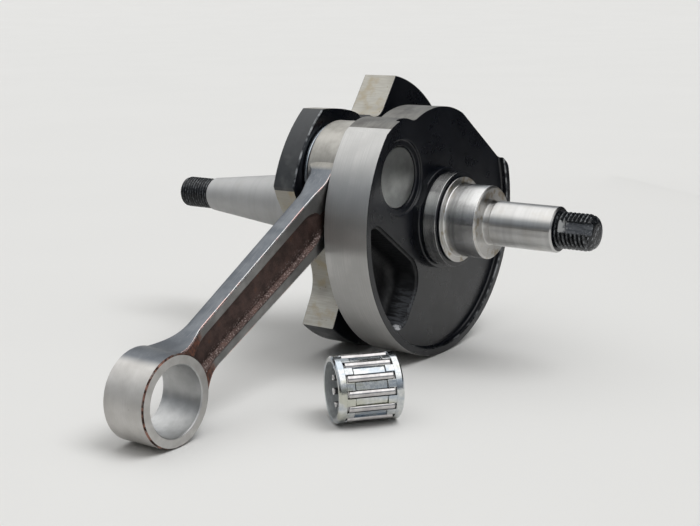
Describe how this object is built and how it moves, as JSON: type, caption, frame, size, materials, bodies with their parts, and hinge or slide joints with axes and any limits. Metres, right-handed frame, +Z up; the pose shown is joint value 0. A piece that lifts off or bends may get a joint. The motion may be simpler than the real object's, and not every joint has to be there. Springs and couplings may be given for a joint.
{
  "type": "crankshaft",
  "caption": "Built-up single-cylinder two-stroke crankshaft with wide rotary-valve web, anchor-shaped flywheel web, H-section connecting rod and caged needle bearings.",
  "frame": {"origin": "middle of the flat face that ends the drive-side thread, on the crank axis", "axes": "+X along the crank axis out of the drive end, +Z up, the rod's small end towards -Y; the floor is 42 mm below the origin"},
  "size_m": [0.1523, 0.1609, 0.0834],
  "materials": {
    "blackened_forging": "black phosphate with ground steel rim",
    "crankpin_steel": "fine ground",
    "rod_steel": "ground edges, dark copper-tinted forged channels",
    "washer_steel": "satin",
    "cage_steel": "bright plated",
    "needle_steel": "polished"
  },
  "bodies": {
    "crank": {"drive_side_crank_half": "blackened_forging", "flywheel_side_crank_half": "blackened_forging", "crankpin": "crankpin_steel"},
    "rod": {"connecting_rod": "rod_steel"},
    "big_end_bearing": {"big_end_cage": "cage_steel", "big_end_roller_1": "needle_steel", "big_end_roller_2": "needle_steel", "big_end_roller_3": "needle_steel", "big_end_roller_4": "needle_steel", "big_end_roller_5": "needle_steel", "big_end_roller_6": "needle_steel", "big_end_roller_7": "needle_steel", "big_end_roller_8": "needle_steel", "big_end_roller_9": "needle_steel", "big_end_roller_10": "needle_steel", "big_end_roller_11": "needle_steel", "big_end_roller_12": "needle_steel"},
    "washer_drive_side": {"thrust_washer_drive_side": "washer_steel"},
    "washer_flywheel_side": {"thrust_washer_flywheel_side": "washer_steel"},
    "small_end_bearing": {"small_end_cage": "cage_steel", "small_end_needle_1": "needle_steel", "small_end_needle_2": "needle_steel", "small_end_needle_3": "needle_steel", "small_end_needle_4": "needle_steel", "small_end_needle_5": "needle_steel", "small_end_needle_6": "needle_steel", "small_end_needle_7": "needle_steel", "small_end_needle_8": "needle_steel", "small_end_needle_9": "needle_steel", "small_end_needle_10": "needle_steel", "small_end_needle_11": "needle_steel", "small_end_needle_12": "needle_steel", "small_end_needle_13": "needle_steel"}
  },
  "joints": [
    {"name": "rod_swing", "type": "hinge", "parent": "crank", "child": "rod", "pos_m": [-0.0676, -0.02094, 0.01455], "axis": [1, 0, 0], "continuous": true},
    {"name": "big_end_cage_turn", "type": "hinge", "parent": "crank", "child": "big_end_bearing", "pos_m": [-0.0676, -0.02094, 0.01455], "axis": [1, 0, 0], "continuous": true},
    {"name": "drive_washer_turn", "type": "hinge", "parent": "crank", "child": "washer_drive_side", "pos_m": [-0.0676, -0.02094, 0.01455], "axis": [1, 0, 0], "continuous": true},
    {"name": "flywheel_washer_turn", "type": "hinge", "parent": "crank", "child": "washer_flywheel_side", "pos_m": [-0.0676, -0.02094, 0.01455], "axis": [1, 0, 0], "continuous": true},
    {"name": "loose_bearing_turn", "type": "hinge", "parent": "crank", "child": "small_end_bearing", "pos_m": [-0.035, -0.0651, -0.03323], "axis": [0.6428, 0.766, 0], "continuous": true}
  ],
  "couplings": [
    {"joint": "big_end_cage_turn", "follows": "rod_swing", "ratio": 0.5735}
  ]
}
